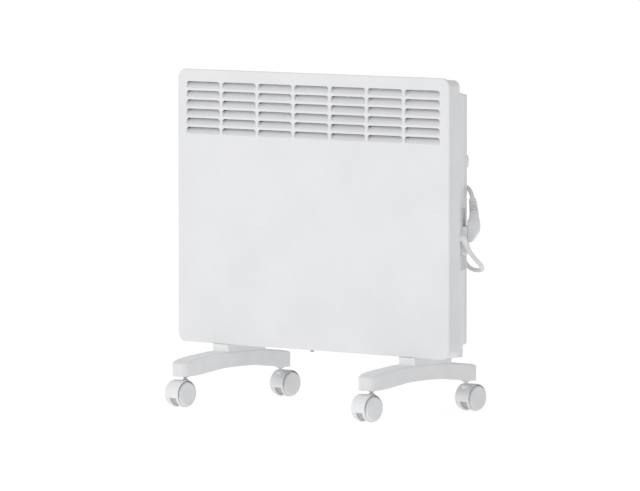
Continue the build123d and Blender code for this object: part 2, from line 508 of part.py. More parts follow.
# ---------------------------------------------------------------- castors
def castor(tag, sx, sy, way):
    ay = sy + way * TRAIL
    az = WHEEL_R
    # stem: grip pin in the foot, collar under it, swivel pin in the hood
    st = cyl("Z", STEM_R, 29.0, 71.0, sx, sy) + Pos(sx, sy, 48.85) * Cone(5.4, 7.6, 1.5)
    put("castor_" + tag + "_stem", st)
    # hood: a half-round shell over both wheels, with a web between them
    shell = cyl("X", HOOD_R, sx - HOOD_X, sx + HOOD_X, ay, az) - cyl("X", HOOD_RI, sx - 19, sx + 19, ay, az)
    below = box(sx - 30, sx + 30, ay - 40, ay + 40, az - 40, HOOD_LOW)
    shell = shell - below
    web = cyl("X", HOOD_RI + 0.5, sx - 5.6, sx + 5.6, ay, az) - below + cyl("X", 18.5, sx - 5.6, sx + 5.6, ay, az)
    boss = cyl("Z", 7.4, 36.0, 46.4, sx, sy) & cyl("X", 26.5, sx - 20, sx + 20, ay, az)
    boss = boss - cyl("X", HOOD_RI, sx - 19, sx - 5.6, ay, az) - cyl("X", HOOD_RI, sx + 5.6, sx + 19, ay, az)
    hood = shell + web + boss
    hood = hood - cyl("Z", STEM_R + RUN, 28.6, 60.0, sx, sy) - cyl("X", AXLE_R, sx - 9, sx + 9, ay, az)
    put("castor_" + tag + "_hood", hood)
    put("castor_" + tag + "_axle", cyl("X", AXLE_R, sx - 15.6, sx + 15.6, ay, az))
    for side, k in (("a", -1), ("b", 1)):
        prof = [(3.0 + RUN, HUB_X0), (7.0, HUB_X0), (7.0, HUB_X1 - 2.2), (17.6, HUB_X1 - 2.2), (17.6, HUB_X0 + 0.6), (WHEEL_R - 1.2, HUB_X0 + 0.6),
                (WHEEL_R, HUB_X0 + 2.0), (WHEEL_R, HUB_X1 - 5.6), (WHEEL_R - 0.7, HUB_X1 - 3.0), (WHEEL_R - 1.8, HUB_X1 - 1.0), (WHEEL_R - 2.9, HUB_X1), (0.0, HUB_X1),
                (0.0, HUB_X1 - 2.0), (3.0 + RUN, HUB_X1 - 2.0)]
        face = make_face(Polyline([(sx + k * x, ay + r, az) for r, x in prof], close=True))
        w = revolve(face, Axis((sx, ay, az), (1, 0, 0)), 360)
        put("castor_" + tag + "_wheel_" + side, w)


castor("fl", -FOOT_X, -STEM_Y, -1)
castor("fr", FOOT_X, -STEM_Y, -1)
castor("rl", -FOOT_X, STEM_Y, 1)
castor("rr", FOOT_X, STEM_Y, 1)

tot = Compound(children=[NODES[n] for n in NODES if n not in ("power_cord", "plug_cord", "cord_coil", "cord_tie", "plug_body", "plug_pins")])
b = tot.bounding_box()
print("nodes", len(NODES), "box", b.min, b.max)
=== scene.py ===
import math

import bmesh
import bpy
from mathutils import Matrix, Vector


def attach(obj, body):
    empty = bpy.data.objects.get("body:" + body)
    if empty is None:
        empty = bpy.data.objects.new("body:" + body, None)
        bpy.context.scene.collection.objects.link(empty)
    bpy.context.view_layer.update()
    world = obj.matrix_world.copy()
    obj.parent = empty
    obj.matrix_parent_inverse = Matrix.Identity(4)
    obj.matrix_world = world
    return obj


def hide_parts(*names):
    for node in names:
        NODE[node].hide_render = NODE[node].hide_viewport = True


# A panel convector heater on castor feet: its looks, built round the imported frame.
# Helpers take millimetres in the part's frame and write metres.

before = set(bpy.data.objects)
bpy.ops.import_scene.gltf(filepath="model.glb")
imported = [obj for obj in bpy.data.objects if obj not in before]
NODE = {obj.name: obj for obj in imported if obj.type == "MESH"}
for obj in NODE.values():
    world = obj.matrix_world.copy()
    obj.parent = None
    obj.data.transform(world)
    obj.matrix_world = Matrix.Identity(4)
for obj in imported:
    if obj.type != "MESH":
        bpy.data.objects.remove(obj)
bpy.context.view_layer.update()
MM = 0.001
scene = bpy.context.scene


# ------------------------------------------------------------------ materials
def material(name):
    m = bpy.data.materials.new(name)
    m.use_nodes = True
    t = m.node_tree
    t.nodes.clear()
    out = t.nodes.new("ShaderNodeOutputMaterial")
    bsdf = t.nodes.new("ShaderNodeBsdfPrincipled")
    t.links.new(bsdf.outputs["BSDF"], out.inputs["Surface"])
    return m, t, bsdf


def noise(t, co, scale, detail=2.0, rough=0.5, dims="3D"):
    n = t.nodes.new("ShaderNodeTexNoise")
    n.noise_dimensions = dims
    n.inputs["Scale"].default_value = scale
    n.inputs["Detail"].default_value = detail
    n.inputs["Roughness"].default_value = rough
    t.links.new(co, n.inputs["Vector"])
    return n.outputs["Fac"]


def ramp(t, fac, stops):
    r = t.nodes.new("ShaderNodeValToRGB")
    e = r.color_ramp.elements
    while len(e) < len(stops):
        e.new(0.5)
    for el, (p, c) in zip(e, stops):
        el.position = p
        el.color = (*c, 1.0) if len(c) == 3 else c
    t.links.new(fac, r.inputs["Fac"])
    return r.outputs["Color"]


def span(t, fac, a, b):
    r = t.nodes.new("ShaderNodeMapRange")
    r.inputs["To Min"].default_value = a
    r.inputs["To Max"].default_value = b
    t.links.new(fac, r.inputs["Value"])
    return r.outputs["Result"]


def coords(t, scale=(1, 1, 1)):
    c = t.nodes.new("ShaderNodeTexCoord")
    m = t.nodes.new("ShaderNodeMapping")
    m.inputs["Scale"].default_value = scale
    t.links.new(c.outputs["Object"], m.inputs["Vector"])
    return m.outputs["Vector"]


def bump(t, height, strength, distance, bsdf, chain=None):
    b = t.nodes.new("ShaderNodeBump")
    b.inputs["Strength"].default_value = strength
    b.inputs["Distance"].default_value = distance
    t.links.new(height, b.inputs["Height"])
    if chain is not None:
        t.links.new(chain, b.inputs["Normal"])
    t.links.new(b.outputs["Normal"], bsdf.inputs["Normal"])
    return b.outputs["Normal"]


def coated(name, colour, dim=0.965, rough=(0.34, 0.46), grain=1500.0, peel=260.0, peel_d=0.00012):
    """Powder-coated sheet: fine orange peel, a faint broad mottle in colour and gloss."""
    m, t, b = material(name)
    co = coords(t)
    broad = noise(t, co, 9.0, 4.0, 0.55)
    fine = noise(t, co, grain, 2.0, 0.6)
    peel_n = noise(t, co, peel, 3.0, 0.55)
    dark = tuple(c * dim for c in colour)
    t.links.new(ramp(t, broad, [(0.35, dark), (0.62, colour)]), b.inputs["Base Color"])
    t.links.new(span(t, noise(t, co, 60.0, 3.0), *rough), b.inputs["Roughness"])
    n = bump(t, peel_n, 0.16, peel_d, b)
    bump(t, fine, 0.10, 0.00004, b, n)
    b.inputs["Specular IOR Level"].default_value = 0.42
    return m


def moulded(name, colour, rough=(0.36, 0.48), dim=0.96, grain=2200.0, depth=0.00005, spec=0.45, broad=25.0):
    """Moulded plastic: spark-eroded grain, a faint flow mottle."""
    m, t, b = material(name)
    co = coords(t)
    dark = tuple(c * dim for c in colour)
    t.links.new(ramp(t, noise(t, co, broad, 3.0, 0.6), [(0.38, dark), (0.6, colour)]), b.inputs["Base Color"])
    t.links.new(span(t, noise(t, co, 140.0, 2.0), *rough), b.inputs["Roughness"])
    v = t.nodes.new("ShaderNodeTexVoronoi")
    v.inputs["Scale"].default_value = grain
    t.links.new(co, v.inputs["Vector"])
    bump(t, v.outputs["Distance"], 0.18, depth, b)
    b.inputs["Specular IOR Level"].default_value = spec
    return m


def metal(name, colour, rough=(0.28, 0.42), stretch=(1, 1, 1), scale=220.0, dim=0.8, metallic=1.0):
    """Bare or plated metal with a drawn or turned grain along one way."""
    m, t, b = material(name)
    co = coords(t, stretch)
    n = noise(t, co, scale, 4.0, 0.65)
    dark = tuple(c * dim for c in colour)
    t.links.new(ramp(t, n, [(0.3, dark), (0.7, colour)]), b.inputs["Base Color"])
    t.links.new(span(t, n, *rough), b.inputs["Roughness"])
    b.inputs["Metallic"].default_value = metallic
    bump(t, n, 0.12, 0.00003, b)
    return m


M = {
    "cover": coated("cover_coat", (0.815, 0.820, 0.832)),
    "casing": coated("casing_coat", (0.800, 0.806, 0.820), rough=(0.38, 0.5)),
    "foot": moulded("foot_plastic", (0.790, 0.797, 0.806)),
    "hood": moulded("hood_plastic", (0.86, 0.865, 0.875), rough=(0.26, 0.36), depth=0.00002),
    "wheel": moulded("wheel_plastic", (0.79, 0.797, 0.81), rough=(0.30, 0.40), depth=0.00003),
    "cord": moulded("cord_pvc", (0.80, 0.805, 0.80), rough=(0.40, 0.52), broad=60.0, depth=0.00002),
    # painted light: the boot is a touch lighter than the lead, to offset the shade where it sits against the flank
    "boot": moulded("boot_pvc_painted_light", (0.82, 0.825, 0.83), rough=(0.40, 0.52), broad=60.0, depth=0.00002),
    "plug": moulded("plug_pvc", (0.77, 0.775, 0.785), rough=(0.38, 0.5)),
    # painted light: a whiter white for the lit front faces of the foot pedestal
    "pedestal_lit": moulded("pedestal_front_painted_light", (0.93, 0.935, 0.94)),
    # painted shade: dark grey for the castor web, standing for the shade under the hood
    "web": moulded("web_painted_shade", (0.46, 0.465, 0.47), rough=(0.45, 0.6), depth=0.00002),
    # painted light: the cord holder is whiter than the casing, to offset the shade between the pads
    "holder": moulded("holder_painted_light", (0.88, 0.885, 0.895)),
    # painted shade: a darker grey for the upper pad, standing for the shade under the plug
    "pad_up": moulded("pad_painted_shade", (0.65, 0.655, 0.67), rough=(0.55, 0.7)),
    # partly painted shade: the pads' grey stands partly for shaded pockets on the flank
    "pad": moulded("pad_rubber_and_painted_shade", (0.67, 0.675, 0.69), rough=(0.55, 0.7)),
    "control": moulded("control_plastic", (0.79, 0.797, 0.81)),
    "strap": moulded("strap_weave", (0.77, 0.775, 0.78), rough=(0.7, 0.85), grain=900.0, depth=0.0002),
    "knob": moulded("knob_plastic", (0.62, 0.625, 0.635)),
    "rocker": moulded("rocker_plastic", (0.035, 0.035, 0.038), rough=(0.22, 0.32)),
    "dark": moulded("inner_plastic", (0.05, 0.05, 0.052), rough=(0.4, 0.55)),
    "zinc": metal("zinc_plate", (0.62, 0.63, 0.64), rough=(0.32, 0.48), scale=300.0),
    "shaft": metal("turned_steel", (0.60, 0.60, 0.61), stretch=(1, 1, 14)),
    # painted light: the steel stem gets a near-white, non-metallic finish to offset the shade under the foot and hood
    "stem": metal("stem_steel", (0.88, 0.885, 0.89), stretch=(1, 1, 20), rough=(0.34, 0.44), dim=0.94, metallic=0.0),
    "nickel": metal("pin_nickel", (0.72, 0.71, 0.69), rough=(0.16, 0.26)),
    "fins": metal("fin_aluminium", (0.78, 0.78, 0.79), rough=(0.36, 0.5), stretch=(0.1, 3, 3)),
    "rod": metal("element_steel", (0.34, 0.32, 0.30), rough=(0.42, 0.6)),
    "shield": metal("shield_steel", (0.70, 0.70, 0.71), rough=(0.34, 0.46), stretch=(0.2, 1, 2)),
    "ceramic": moulded("ceramic", (0.80, 0.78, 0.72), rough=(0.55, 0.7), spec=0.3),
    "brown": moulded("wire_brown", (0.20, 0.09, 0.04)),
    "blue": moulded("wire_blue", (0.05, 0.15, 0.50)),
    "green": moulded("wire_green", (0.22, 0.48, 0.10)),
    "black": moulded("wire_black", (0.03, 0.03, 0.03)),
}

USE = {
    "cover": ["front_cover"],
    "casing": ["surround_frame", "rear_casing", "back_plate", "intake_grille"],
    "foot": ["foot_left", "foot_right"],
    "zinc": ["cover_clips", "cover_lock_screw", "back_plate_screws", "foot_screws", "element_bracket_left", "element_bracket_right"],
    "shield": ["heat_shield"],
    "fins": ["element_fins"],
    "rod": ["element_rod"],
    "ceramic": ["element_insulators"],
    "dark": ["thermal_cutout", "tilt_switch", "terminal_block", "thermostat_body"],
    "control": ["control_plate", "switch_housing"],
    "knob": ["thermostat_knob"],
    "shaft": ["thermostat_shaft"],
    "rocker": ["switch_rocker"],
    "brown": ["wire_live"], "blue": ["wire_neutral"], "green": ["wire_earth"], "black": ["wire_switched"],
    "cord": ["power_cord", "plug_cord", "cord_coil", "cord_gland", "cord_tie"],
    "plug": ["plug_body"],
    "nickel": ["plug_pins"],
    "holder": ["cord_holder", "cord_hook"],
    "pad": ["cord_holder_pads"],
}
for tag in ("fl", "fr", "rl", "rr"):
    USE.setdefault("stem", []).append("castor_%s_stem" % tag)
    USE.setdefault("shaft", []).append("castor_%s_axle" % tag)
    USE.setdefault("hood", []).append("castor_%s_hood" % tag)
    USE.setdefault("wheel", []).extend(["castor_%s_wheel_a" % tag, "castor_%s_wheel_b" % tag])
for key, names in USE.items():
    for n in names:
        o = NODE[n]
        o.data.materials.clear()
        o.data.materials.append(M[key])
        for p in o.data.polygons:
            p.material_index = 0


# ------------------------------------------------------------------ mesh helpers
def make(name, verts, faces, mat, body="heater", nodes=(), sharp=None, merge=0.00001, flip=False):
    me = bpy.data.meshes.new(name)
    me.from_pydata([(v[0] * MM, v[1] * MM, v[2] * MM) for v in verts], [], faces)
    bm = bmesh.new()
    bm.from_mesh(me)
    if merge:
        bmesh.ops.remove_doubles(bm, verts=bm.verts, dist=merge)
    bmesh.ops.dissolve_degenerate(bm, edges=bm.edges, dist=1e-7)
    bmesh.ops.recalc_face_normals(bm, faces=bm.faces)
    if flip:
        bmesh.ops.reverse_faces(bm, faces=bm.faces)
    loose = [v for v in bm.verts if not v.link_faces]
    bmesh.ops.delete(bm, geom=loose, context="VERTS")
    bm.to_mesh(me)
    bm.free()
    for p in me.polygons:
        p.use_smooth = True
    if sharp:
        me.set_sharp_from_angle(angle=math.radians(sharp))
    me.materials.append(mat)
    ob = bpy.data.objects.new(name, me)
    scene.collection.objects.link(ob)
    wn = ob.modifiers.new("flats", "WEIGHTED_NORMAL")
    wn.keep_sharp = True
    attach(ob, body)
    if nodes:
        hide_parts(*nodes)
    return ob


def rrect(hw, z0, z1, r, y, seg=12, xc=0.0):
    """Rounded rectangle in the XZ plane at y, as a closed list of points."""
    pts = []
    for cx, cz, a0 in ((hw - r, z1 - r, 0), (-(hw - r), z1 - r, 90), (-(hw - r), z0 + r, 180), (hw - r, z0 + r, 270)):
        for k in range(seg + 1):
            a = math.radians(a0 + 90.0 * k / seg)
            pts.append((xc + cx + r * math.cos(a), y, cz + r * math.sin(a)))
    return pts


def skin(rings, closed=False, base=0):
    """Faces between rings of equal length; closed joins the last ring to the first."""
    n = len(rings[0])
    f = []
    last = len(rings) if closed else len(rings) - 1
    for i in range(last):
        a, b = base + i * n, base + ((i + 1) % len(rings)) * n
        for k in range(n):
            k2 = (k + 1) % n
            f.append((a + k, a + k2, b + k2, b + k))
    return f


def flat(v):
    return [p for ring in v for p in ring]


# ------------------------------------------------------------------ front panel with pressed louvres
PY = -34.5
T = 1.2


def smooth(a):
    a = max(0.0, min(1.0, a))
    return a * a * (3 - 2 * a)


def front_panel():
    W, H, R, D, GAP = 73.76, 11.2, 5.6, 7.3, 0.95
    px, pz, top = 78.27, 15.02, 526.7
    offs = [0, 0.3, 0.6, 0.95, 1.35, 1.85, 2.4, 3.2, 4.3, 5.6, 7.2, 10, 15, 22, 30]
    half = W / 2
    us = [-half + o for o in offs] + [0.0] + [half - o for o in reversed(offs)]
    cols = [(-276.0, None), (-3 * px - half - 0.4, None)]
    for i in range(7):
        cx = (i - 3) * px
        cols += [(cx + u, u) for u in us]
        if i < 6:
            cols += [(cx + half + 0.4, None), (cx + px - half - 0.4, None)]
    cols += [(3 * px + half + 0.4, None), (276.0, None)]
    ts = [0, 0.05, 0.12, 0.21, 0.31, 0.42, 0.54, 0.66, 0.78, 0.89, 1.0]
    rows = [("flat", 434.0)]
    for j in range(5, -1, -1):
        zb = top - j * pz - H
        rows.append(("flat", zb - 0.5))
        rows += [("vane", zb, t) for t in ts]
        rows.append(("edge", zb, 0.0))
        rows.append(("edge", zb, 0.45))
    rows.append(("flat", 530.0))

    def vtop(u):
        if u is None:
            return H - R
        s = half - abs(u)
        if s >= R:
            return H
        return H - R + math.sqrt(max(0.0, R * R - (R - s) ** 2))

    verts, ids = [], {}
    for r, row in enumerate(rows):
        for c, (x, u) in enumerate(cols):
            if row[0] == "flat":
                z, d = row[1], 0.0
            elif row[0] == "vane":
                zb, t = row[1], row[2]
                if u is None:
                    z, d = zb + t * (H - R), 0.0
                else:
                    s = half - abs(u)
                    g = GAP * smooth(s / 5.0)
                    z = zb + t * (vtop(u) - g)
                    lift = ((z - zb) / (H - GAP)) ** 0.95 if z > zb else 0.0
                    d = D * lift * smooth(s / 1.5)
            else:
                zb = row[1]
                z, d = zb + vtop(u) + row[2], 0.0
                if row[2] == 0.0 and (u is None or abs(abs(u) - half) < 1e-6):
                    ids[r, c] = ids[r - 1, c]      # the cut ends here
                    continue
            ids[r, c] = len(verts)
            verts.append((x, PY + d, z))
    faces = []
    for r in range(len(rows) - 1):
        if rows[r][0] == "vane" and rows[r + 1][0] == "edge":
            continue                                # the cut
        for c in range(len(cols) - 1):
            q = (ids[r, c], ids[r, c + 1], ids[r + 1, c + 1], ids[r + 1, c])
            if len(set(q)) == 4:
                faces.append(q)

    me = bpy.data.meshes.new("tmp")
    me.from_pydata(verts, [], faces)
    bm = bmesh.new()
    bm.from_mesh(me)
    bpy.data.meshes.remove(me)
    lim = [e for e in bm.edges if len(e.link_faces) == 1 and
           all(abs(abs(v.co.x) - 276.0) < 1e-4 or abs(v.co.z - 434.0) < 1e-4 or abs(v.co.z - 530.0) < 1e-4 for v in e.verts)]
    ring = [bm.verts.new(p) for p in rrect(291 - 2.4, 97 + 2.4, 547 - 2.4, 13.6, PY)]
    loop = [bm.edges.new((ring[k], ring[(k + 1) % len(ring)])) for k in range(len(ring))]
    res = bmesh.ops.triangle_fill(bm, use_beauty=True, edges=lim + loop)
    bad = [g for g in res["geom"] if isinstance(g, bmesh.types.BMFace) and
           abs(g.calc_center_median().x) < 276 and 434 < g.calc_center_median().z < 530]
    bmesh.ops.delete(bm, geom=bad, context="FACES_ONLY")
    bm.verts.ensure_lookup_table()
    bm.verts.index_update()
    n = len(bm.verts)
    out_v = [tuple(v.co) for v in bm.verts]
    out_v += [(x, y + T, z) for x, y, z in out_v]
    fr = [tuple(v.index for v in f.verts) for f in bm.faces]
    out_f = fr + [tuple(n + i for i in reversed(f)) for f in fr]
    rim = set(e for e in loop)
    for e in bm.edges:
        if len(e.link_faces) == 1 and e not in rim:
            a, b = (v.index for v in e.verts)
            out_f.append((a, b, n + b, n + a))
    bm.free()
    prof = [(2.4, 0.0)] + [(2.1 * (1 - math.sin(math.radians(a))), 2.1 * (1 - math.cos(math.radians(a)))) for a in (0, 15, 30, 45, 60, 75, 90)]
    prof += [(0.0, 3.5), (0.1, 3.85), (0.35, 4.0), (0.85, 4.0), (1.1, 3.85), (1.2, 3.5), (1.2, 2.3), (1.35, 1.75), (1.75, 1.35), (2.4, 1.2)]
    rings = [rrect(291 - d, 97 + d, 547 - d, 16 - d, PY + y) for d, y in prof]
    out_f += skin(rings, base=len(out_v))
    out_v += flat(rings)
    return make("front_panel", out_v, out_f, M["cover"], nodes=["front_cover"], sharp=50, merge=0.00002)


front_panel()

# ------------------------------------------------------------------ the lead
ROUTE_A = [
    (0.285419, 0.022641, 0.268941),
    (0.287982, 0.031517, 0.257124),
    (0.2906, 0.0432, 0.2472),
    (0.2864, 0.0552, 0.2394),
    (0.2762, 0.0652, 0.2355),
    (0.2630, 0.0714, 0.2338),
    (0.2502, 0.0756, 0.2342),
    (0.2388, 0.0781, 0.2374),
    (0.2302, 0.0791, 0.2448),
    (0.2252, 0.0793, 0.2556),
    (0.2234, 0.0790, 0.2706),
    (0.2232, 0.0779, 0.2906),
    (0.2236, 0.0761, 0.3140),
    (0.2248, 0.0741, 0.3350),
    (0.2268, 0.0721, 0.3556),
    (0.2296, 0.0708, 0.3760),
]
ROUTE_B = [
    (0.2090, 0.0788, 0.3672),
    (0.2200, 0.0794, 0.3688),
    (0.2304, 0.0778, 0.3680),
    (0.2398, 0.0742, 0.3656),
    (0.2482, 0.0690, 0.3624),
    (0.2560, 0.0624, 0.3586),
    (0.263150, 0.056570, 0.353900),
    (0.266400, 0.053760, 0.348400),
]


def winding():
    """Turns of the wound lead: in on the layer by the back plate, out on the layer behind it."""
    cx, cz, per = 0.1883, 0.4110, 14
    pts = []
    turns, a0 = 4.83, -17.0
    n = round(turns * per)
    grow = 1.0 / math.cos(math.pi / per)
    for k in range(n + 1):
        t = turns * k / n
        if t < 2.20:
            r, y = 0.0464 - 0.0073 * t, 0.0703
        elif t < 2.55:
            s = (t - 2.20) / 0.35
            r, y = 0.0464 - 0.0073 * 2.20, 0.0703 + 0.0073 * s * s * (3 - 2 * s)
        else:
            r, y = min(0.0464, 0.0464 - 0.0073 * 2.20 + 0.0073 * (t - 2.55)), 0.0776
        r += 0.0004 * math.sin(2.3 * t * math.pi)
        y += 0.0002 * math.sin(3.1 * t * math.pi)
        a = math.radians(a0) + 2 * math.pi * t
        pts.append((cx + r * grow * math.cos(a), y, cz + r * grow * math.sin(a)))
    return pts


def curve(name, points, bevel, mat, body="heater", res=8):
    cu = bpy.data.curves.new(name, "CURVE")
    cu.dimensions = "3D"
    sp = cu.splines.new("NURBS")
    sp.points.add(len(points) - 1)
    for p, co in zip(sp.points, points):
        p.co = (*co, 1.0)
    sp.order_u = 3
    sp.use_endpoint_u = True
    cu.resolution_u = res
    cu.bevel_depth = bevel
    cu.bevel_resolution = 6
    cu.use_fill_caps = True
    cu.materials.append(mat)
    ob = bpy.data.objects.new(name, cu)
    scene.collection.objects.link(ob)
    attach(ob, body)
    return ob


lead = curve("power_lead", ROUTE_A + winding() + ROUTE_B, 0.0035, M["cord"])
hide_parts("power_cord", "cord_coil", "plug_cord")

# ------------------------------------------------------------------ casing shells
SQ, CQ = 0.5405384, 0.8413182       # the right flank's slope
FLANK0 = Vector((285.5, -1.5, 0.0))
UDIR = Vector((-SQ, CQ, 0.0))       # back along the right flank
NDIR = Vector((CQ, SQ, 0.0))        # outwards from it
ZDIR = Vector((0.0, 0.0, 1.0))


def on_right(s, d, z):
    return FLANK0 + UDIR * s + NDIR * d + ZDIR * z


def arc(r, d0, y0, steps=6):
    """A bend of radius r from a wall at inset d0 to a face at y0: (inset, y) pairs, both ends left out."""
    return [(d0 + r * (1 - math.cos(math.radians(90 * k / steps))), y0 - r + r * math.sin(math.radians(90 * k / steps)))
            for k in range(1, steps)]


def surround():
    def ring(d, y):
        return rrect(286.5 - d, 99 + d, 543 - d, max(12 - d, 0.6), y)
    outer = [(0.35, -33.3), (0.0, -32.95), (0.0, -4.1)] + arc(2.6, 0.0, -1.5) + [(2.6, -1.5)]
    inner = [(2.6, -2.5)] + [(1.0 + 1.6 * (1 - math.sin(math.radians(a))), -4.1 + 1.6 * math.cos(math.radians(a))) for a in (0, 30, 60)] + [(1.0, -4.1), (1.0, -33.3)]
    inner = [(2.6, -2.5), (1.8, -2.7), (1.25, -3.2), (1.0, -4.1), (1.0, -32.95), (0.75, -33.3)]
    rings = [ring(*p) for p in outer]
    rings += [rrect(262, 124, 510.6, 3, -1.5), rrect(262, 124, 510.6, 3, -2.5)]
    rings += [ring(*p) for p in inner]
    return make("surround_shell", flat(rings), skin(rings, closed=True), M["casing"], nodes=["surround_frame"], sharp=42)


def pan_ring(off, y, inset=0.0):
    s = (y + 1.5) / 59.3
    d = off + inset
    return rrect(285.5 - 38.5 * s - d, 110 + 4 * s + d, 524.6 - 7.2 * s - d, max(4 - d, 0.7), y)


def rear_pan():
    outer = [(57.8, 3.0), (57.8, 0.25), (57.55, 0.0), (56.8, 0.0), (45.0, 0.0), (30.0, 0.0), (4.0, 0.0), (-0.9, 0.0), (-1.5, 0.35)]
    inner = [(-1.5, 0.0), (4.0, 0.0), (30.0, 0.0), (45.0, 0.0), (56.8, 0.0), (56.8, 2.0)]
    rings = [pan_ring(0, *p) for p in outer] + [pan_ring(1.0, *p) for p in inner]
    n = len(rings[0])
    f = skin(rings)
    f.append(tuple(reversed(range(n))))
    f.append(tuple((len(rings) - 1) * n + k for k in range(n)))
    return make("rear_shell", flat(rings), f, M["casing"], nodes=["rear_casing"], sharp=42)


def holed_face(loop, holes, y, seg=28):
    """A flat face at y between a closed loop and round holes, as points and faces."""
    bm = bmesh.new()
    edges = []
    for pts in [loop] + [[(x + r * math.cos(2 * math.pi * k / seg), y, z + r * math.sin(2 * math.pi * k / seg)) for k in range(seg)] for x, z, r in holes]:
        vs = [bm.verts.new(p) for p in pts]
        edges += [bm.edges.new((vs[k], vs[(k + 1) % len(vs)])) for k in range(len(vs))]
    bmesh.ops.triangle_fill(bm, use_beauty=True, edges=edges)
    drop = [f for f in bm.faces if any(math.hypot(f.calc_center_median().x - x, f.calc_center_median().z - z) < r * 0.9 for x, z, r in holes)]
    bmesh.ops.delete(bm, geom=drop, context="FACES_ONLY")
    bm.verts.index_update()
    v = [tuple(q.co) for q in bm.verts]
    f = [tuple(q.index for q in g.verts) for g in bm.faces]
    bm.free()
    return v, f


def back_cover():
    def ring(d, y):
        return rrect(247.4 - d, 114 + d, 517.4 - d, max(4 - d, 0.8), y)
    holes = [(sx * 150.0, z, 3.0) for sx in (-1, 1) for z in (175.0, 375.0)]
    side = [(2.9, 57.8), (0.75, 57.8), (0.1, 58.4), (0.0, 58.7), (0.0, 61.7)] + arc(1.8, 0.0, 63.5) + [(1.8, 63.5), (22.0, 63.5), (23.2, 63.62), (24.6, 64.05), (26.0, 64.2),
            (27.4, 64.05), (28.8, 63.62), (30.0, 63.5)]
    rings = [ring(*p) for p in side]
    inner = [ring(*p) for p in ((2.9, 57.8), (2.9, 58.8), (1.0, 58.8), (1.0, 61.6), (1.5, 62.3), (2.4, 62.5), (30.0, 62.5))]
    v, f = flat(rings), skin(rings)
    f += [tuple(reversed(q)) for q in skin(inner, base=len(v))]
    v += flat(inner)
    fv, ff = holed_face(rings[-1], holes, 63.5)
    f += [tuple(len(v) + i for i in q) for q in ff]
    v += fv
    f += [tuple(len(v) + i for i in reversed(q)) for q in ff]
    v += [(x, 62.5, z) for x, y, z in fv]
    for x, z, r in holes:
        a = [(x + r * math.cos(2 * math.pi * k / 28), 63.5, z + r * math.sin(2 * math.pi * k / 28)) for k in range(28)]
        f += skin([a, a], base=len(v))
        v += a + [(p, 62.5, q) for p, _, q in a]
    return make("back_cover", v, f, M["casing"], nodes=["back_plate"], sharp=38)


surround()
rear_pan()
back_cover()


# ------------------------------------------------------------------ turned and lofted pieces
def lathe(prof, at, axis="Z", seg=48, caps=True):
    """Points and faces turned from (radius, place along the axis) pairs."""
    rings = []
    for r, h in prof:
        ring = []
        for k in range(seg):
            a = 2 * math.pi * k / seg
            c, s = max(r, 0.0) * math.cos(a), max(r, 0.0) * math.sin(a)
            ring.append((at[0] + c, at[1] + s, at[2] + h) if axis == "Z" else (at[0] + h, at[1] + c, at[2] + s))
        rings.append(ring)
    return flat(rings), skin(rings)


def add(v, f, nv, nf):
    f += [tuple(len(v) + i for i in q) for q in nf]
    v += nv


def sect(c, a, b, ha, hb, rb, ra, seg=6):
    """Rounded rectangle about c in the directions a and b; rb rounds its +b corners, ra its -b corners."""
    pts = []
    for sa, sb, r, a0 in ((1, 1, rb, 0), (-1, 1, rb, 90), (-1, -1, ra, 180), (1, -1, ra, 270)):
        r = min(r, ha, hb)
        for k in range(seg + 1):
            t = math.radians(a0 + 90.0 * k / seg)
            p = c + a * (sa * (ha - r) + r * math.cos(t)) + b * (sb * (hb - r) + r * math.sin(t))
            pts.append(tuple(p))
    return pts


def loft(rings):
    n = len(rings[0])
    return flat(rings), skin(rings) + [tuple(reversed(range(n))), tuple((len(rings) - 1) * n + k for k in range(n))]


# the plug: a flat-faced body that narrows to its ribbed strain relief
PLUG_S = 41.0
NB = on_right(PLUG_S, 18.4, 327.0)
ND = Vector((-0.46, 0.40, 0.79)).normalized()


